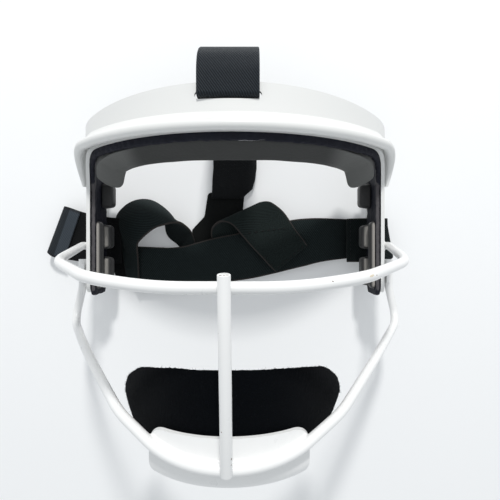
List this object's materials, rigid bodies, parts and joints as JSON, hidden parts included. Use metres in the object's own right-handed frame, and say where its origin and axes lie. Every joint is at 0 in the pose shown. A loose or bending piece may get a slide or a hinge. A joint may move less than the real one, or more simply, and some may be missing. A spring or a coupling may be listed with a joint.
{
  "type": "softball face guard",
  "caption": "Softball fielder's face guard: white coated wire cage on a moulded brow band with side arms, forehead and chin pads, and adjustable elastic straps.",
  "frame": {"origin": "in the guard's plane of symmetry, level with the middle of the face, on the surface that the guard lies on when it is on its back", "axes": "+X across the face towards the wearer's left, +Y up towards the forehead, +Z forward out of the face"},
  "size_m": [0.2503, 0.2204, 0.1588],
  "materials": {
    "shell_coating": "smooth white moulding, soft gloss",
    "wire_coating": "thick white dip coating over steel wire, satin gloss",
    "hook_tape": "short stiff hooks",
    "loop_cloth": "brushed loop pile",
    "chin_foam": "closed-cell foam, matte",
    "base_foam": "closed-cell foam sheet, matte, slightly rough",
    "pad_foam": "moulded soft foam, matte",
    "arm_foam": "moulded soft foam with a slight sheen on its crowns",
    "slate_webbing": "elastic webbing, twill weave",
    "black_webbing": "elastic webbing, fine plush weave"
  },
  "bodies": {
    "guard": {"shell": "shell_coating", "cheek_bar": "wire_coating", "jaw_bar": "wire_coating", "centre_bar": "wire_coating", "arm_welds": "wire_coating", "chin_plate": "wire_coating", "chin_hook_patches": "hook_tape", "brow_hook_patches": "hook_tape", "base_liner": "base_foam", "left_arm_ridge": "arm_foam", "right_arm_ridge": "arm_foam", "left_arm_blocks": "arm_foam", "right_arm_blocks": "arm_foam", "left_temple_block": "arm_foam", "right_temple_block": "arm_foam", "top_strap": "slate_webbing", "rear_junction": "black_webbing", "back_strap_right": "black_webbing", "back_strap_left": "black_webbing", "left_arm_fold": "black_webbing", "strap_turn": "black_webbing", "under_strap": "black_webbing"},
    "chin_pad": {"chin_pad_foam": "chin_foam", "chin_pad_facing": "loop_cloth"},
    "forehead_pad": {"forehead_pad": "pad_foam", "forehead_pad_backing": "loop_cloth"},
    "top_strap_tab": {"top_strap_tab": "slate_webbing"},
    "back_strap_tab": {"back_strap_tab": "black_webbing", "tab_hook_patch": "hook_tape"}
  },
  "joints": [
    {"name": "chin_pad_pull", "type": "slide", "parent": "guard", "child": "chin_pad", "axis": [0, 0, -1], "range_m": [0, 0.025]},
    {"name": "forehead_pad_pull", "type": "slide", "parent": "guard", "child": "forehead_pad", "axis": [0, 0, -1], "range_m": [0, 0.015]},
    {"name": "top_strap_adjust", "type": "slide", "parent": "guard", "child": "top_strap_tab", "axis": [0, 0.7231, -0.6908], "range_m": [0, 0.005]},
    {"name": "back_strap_adjust", "type": "slide", "parent": "guard", "child": "back_strap_tab", "axis": [0.6665, -0.7455, 0], "range_m": [0, 0.012]}
  ]
}
